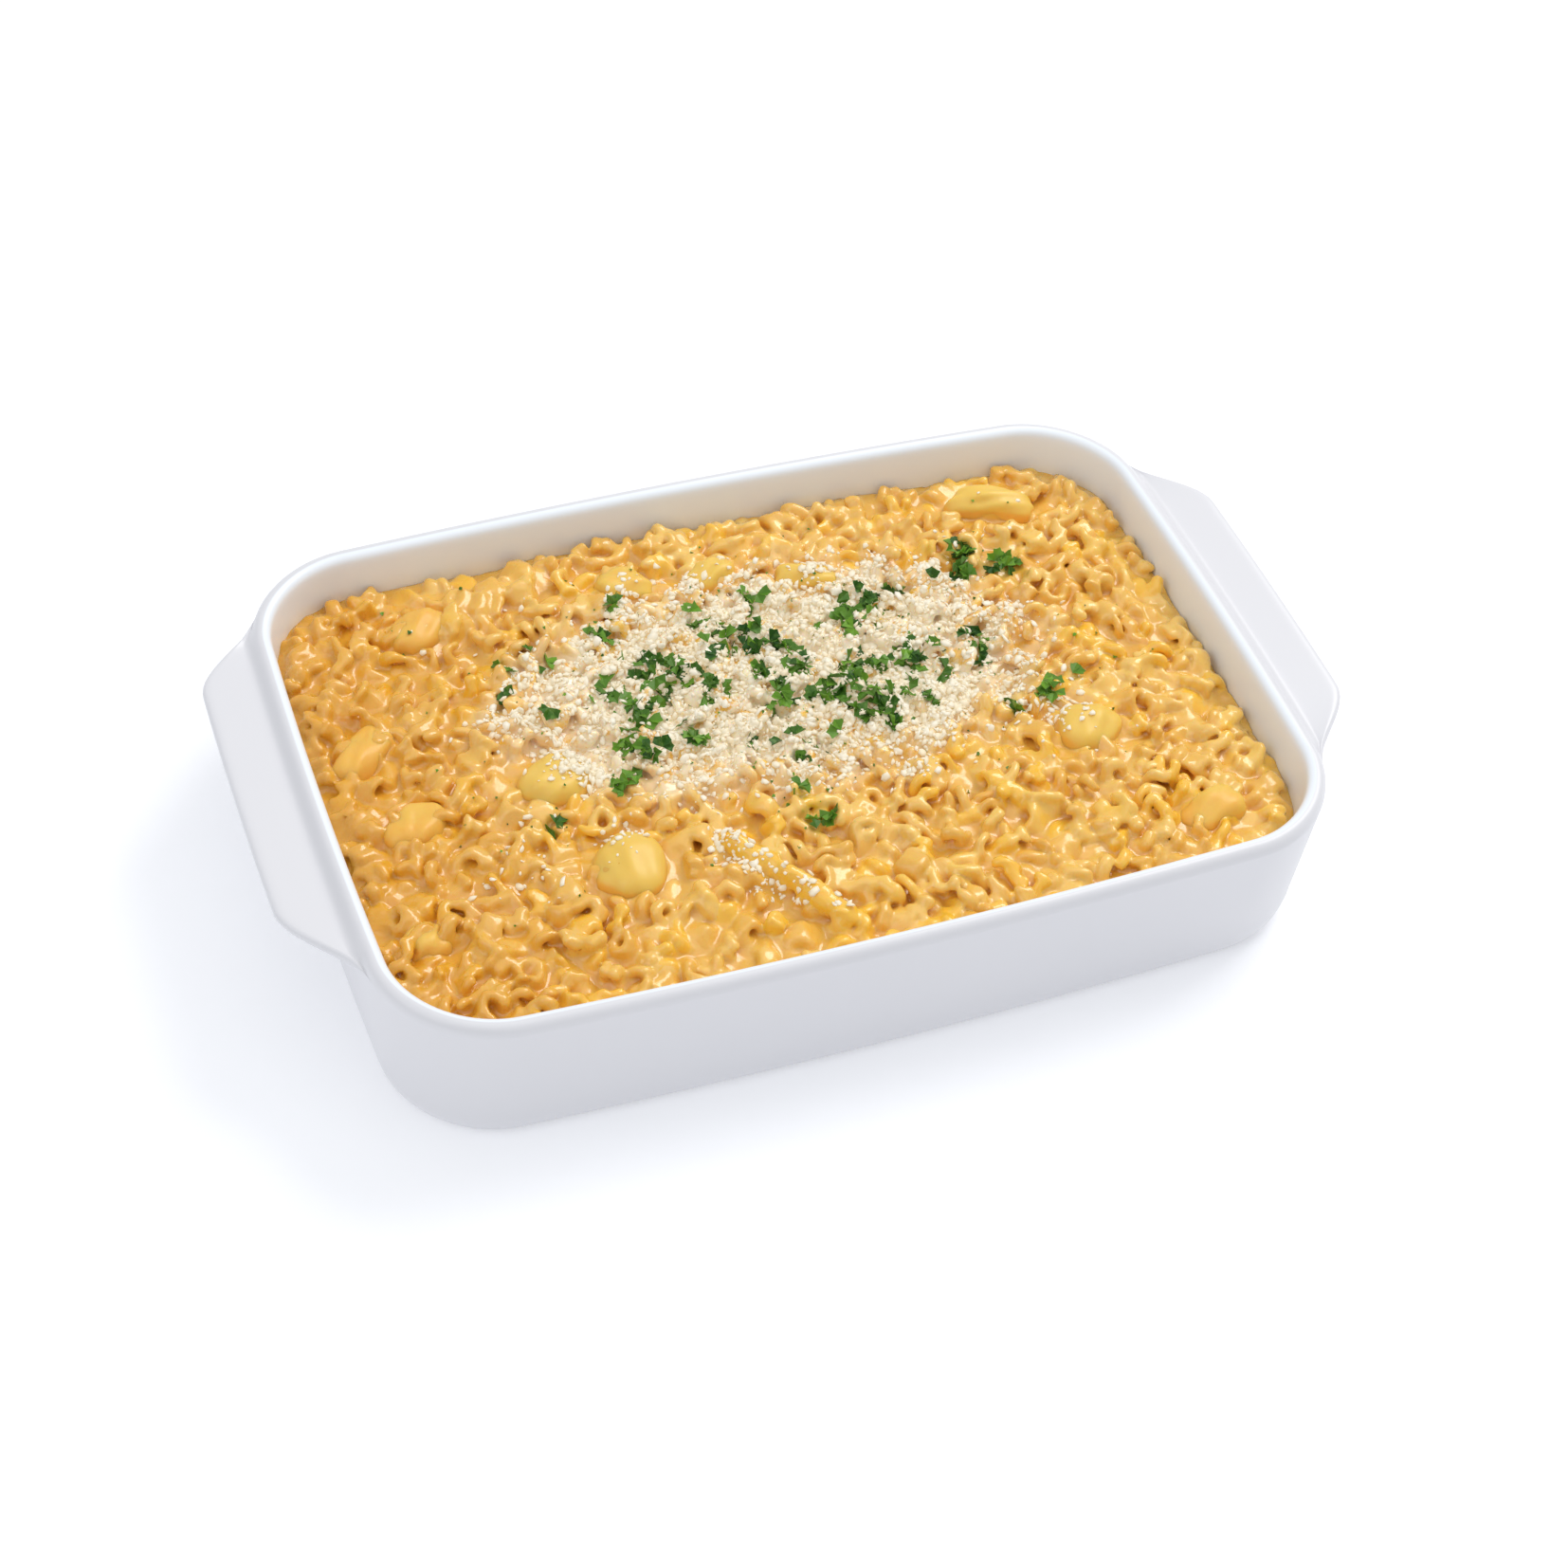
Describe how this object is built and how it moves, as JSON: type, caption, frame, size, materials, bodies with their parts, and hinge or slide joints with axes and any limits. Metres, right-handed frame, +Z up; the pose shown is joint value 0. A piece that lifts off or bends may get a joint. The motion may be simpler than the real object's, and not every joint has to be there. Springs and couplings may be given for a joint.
{
  "type": "baking dish of pasta e patate",
  "caption": "Rectangular white ceramic baking dish with two wing handles, filled with small curled pasta and potato chunks in thick sauce, under grated cheese and chopped parsley.",
  "frame": {"origin": "on the table, under the middle of the dish", "axes": "+Z up, +X along the dish towards one wing handle, +Y across the dish, away from the side the picture shows in front"},
  "size_m": [0.3374, 0.204, 0.053],
  "materials": {
    "dish_glaze": "glossy white glaze",
    "sauced_pasta": "wet glossy sauce over pasta",
    "potato": "moist boiled potato"
  },
  "bodies": {
    "root": {"dish": "dish_glaze", "pasta_heap": "sauced_pasta", "potato_1": "potato", "potato_2": "potato", "potato_3": "potato", "potato_4": "potato", "potato_5": "potato", "potato_6": "potato", "potato_7": "potato", "potato_8": "potato", "potato_9": "potato", "potato_10": "potato", "potato_11": "potato", "potato_12": "potato"}
  },
  "joints": []
}
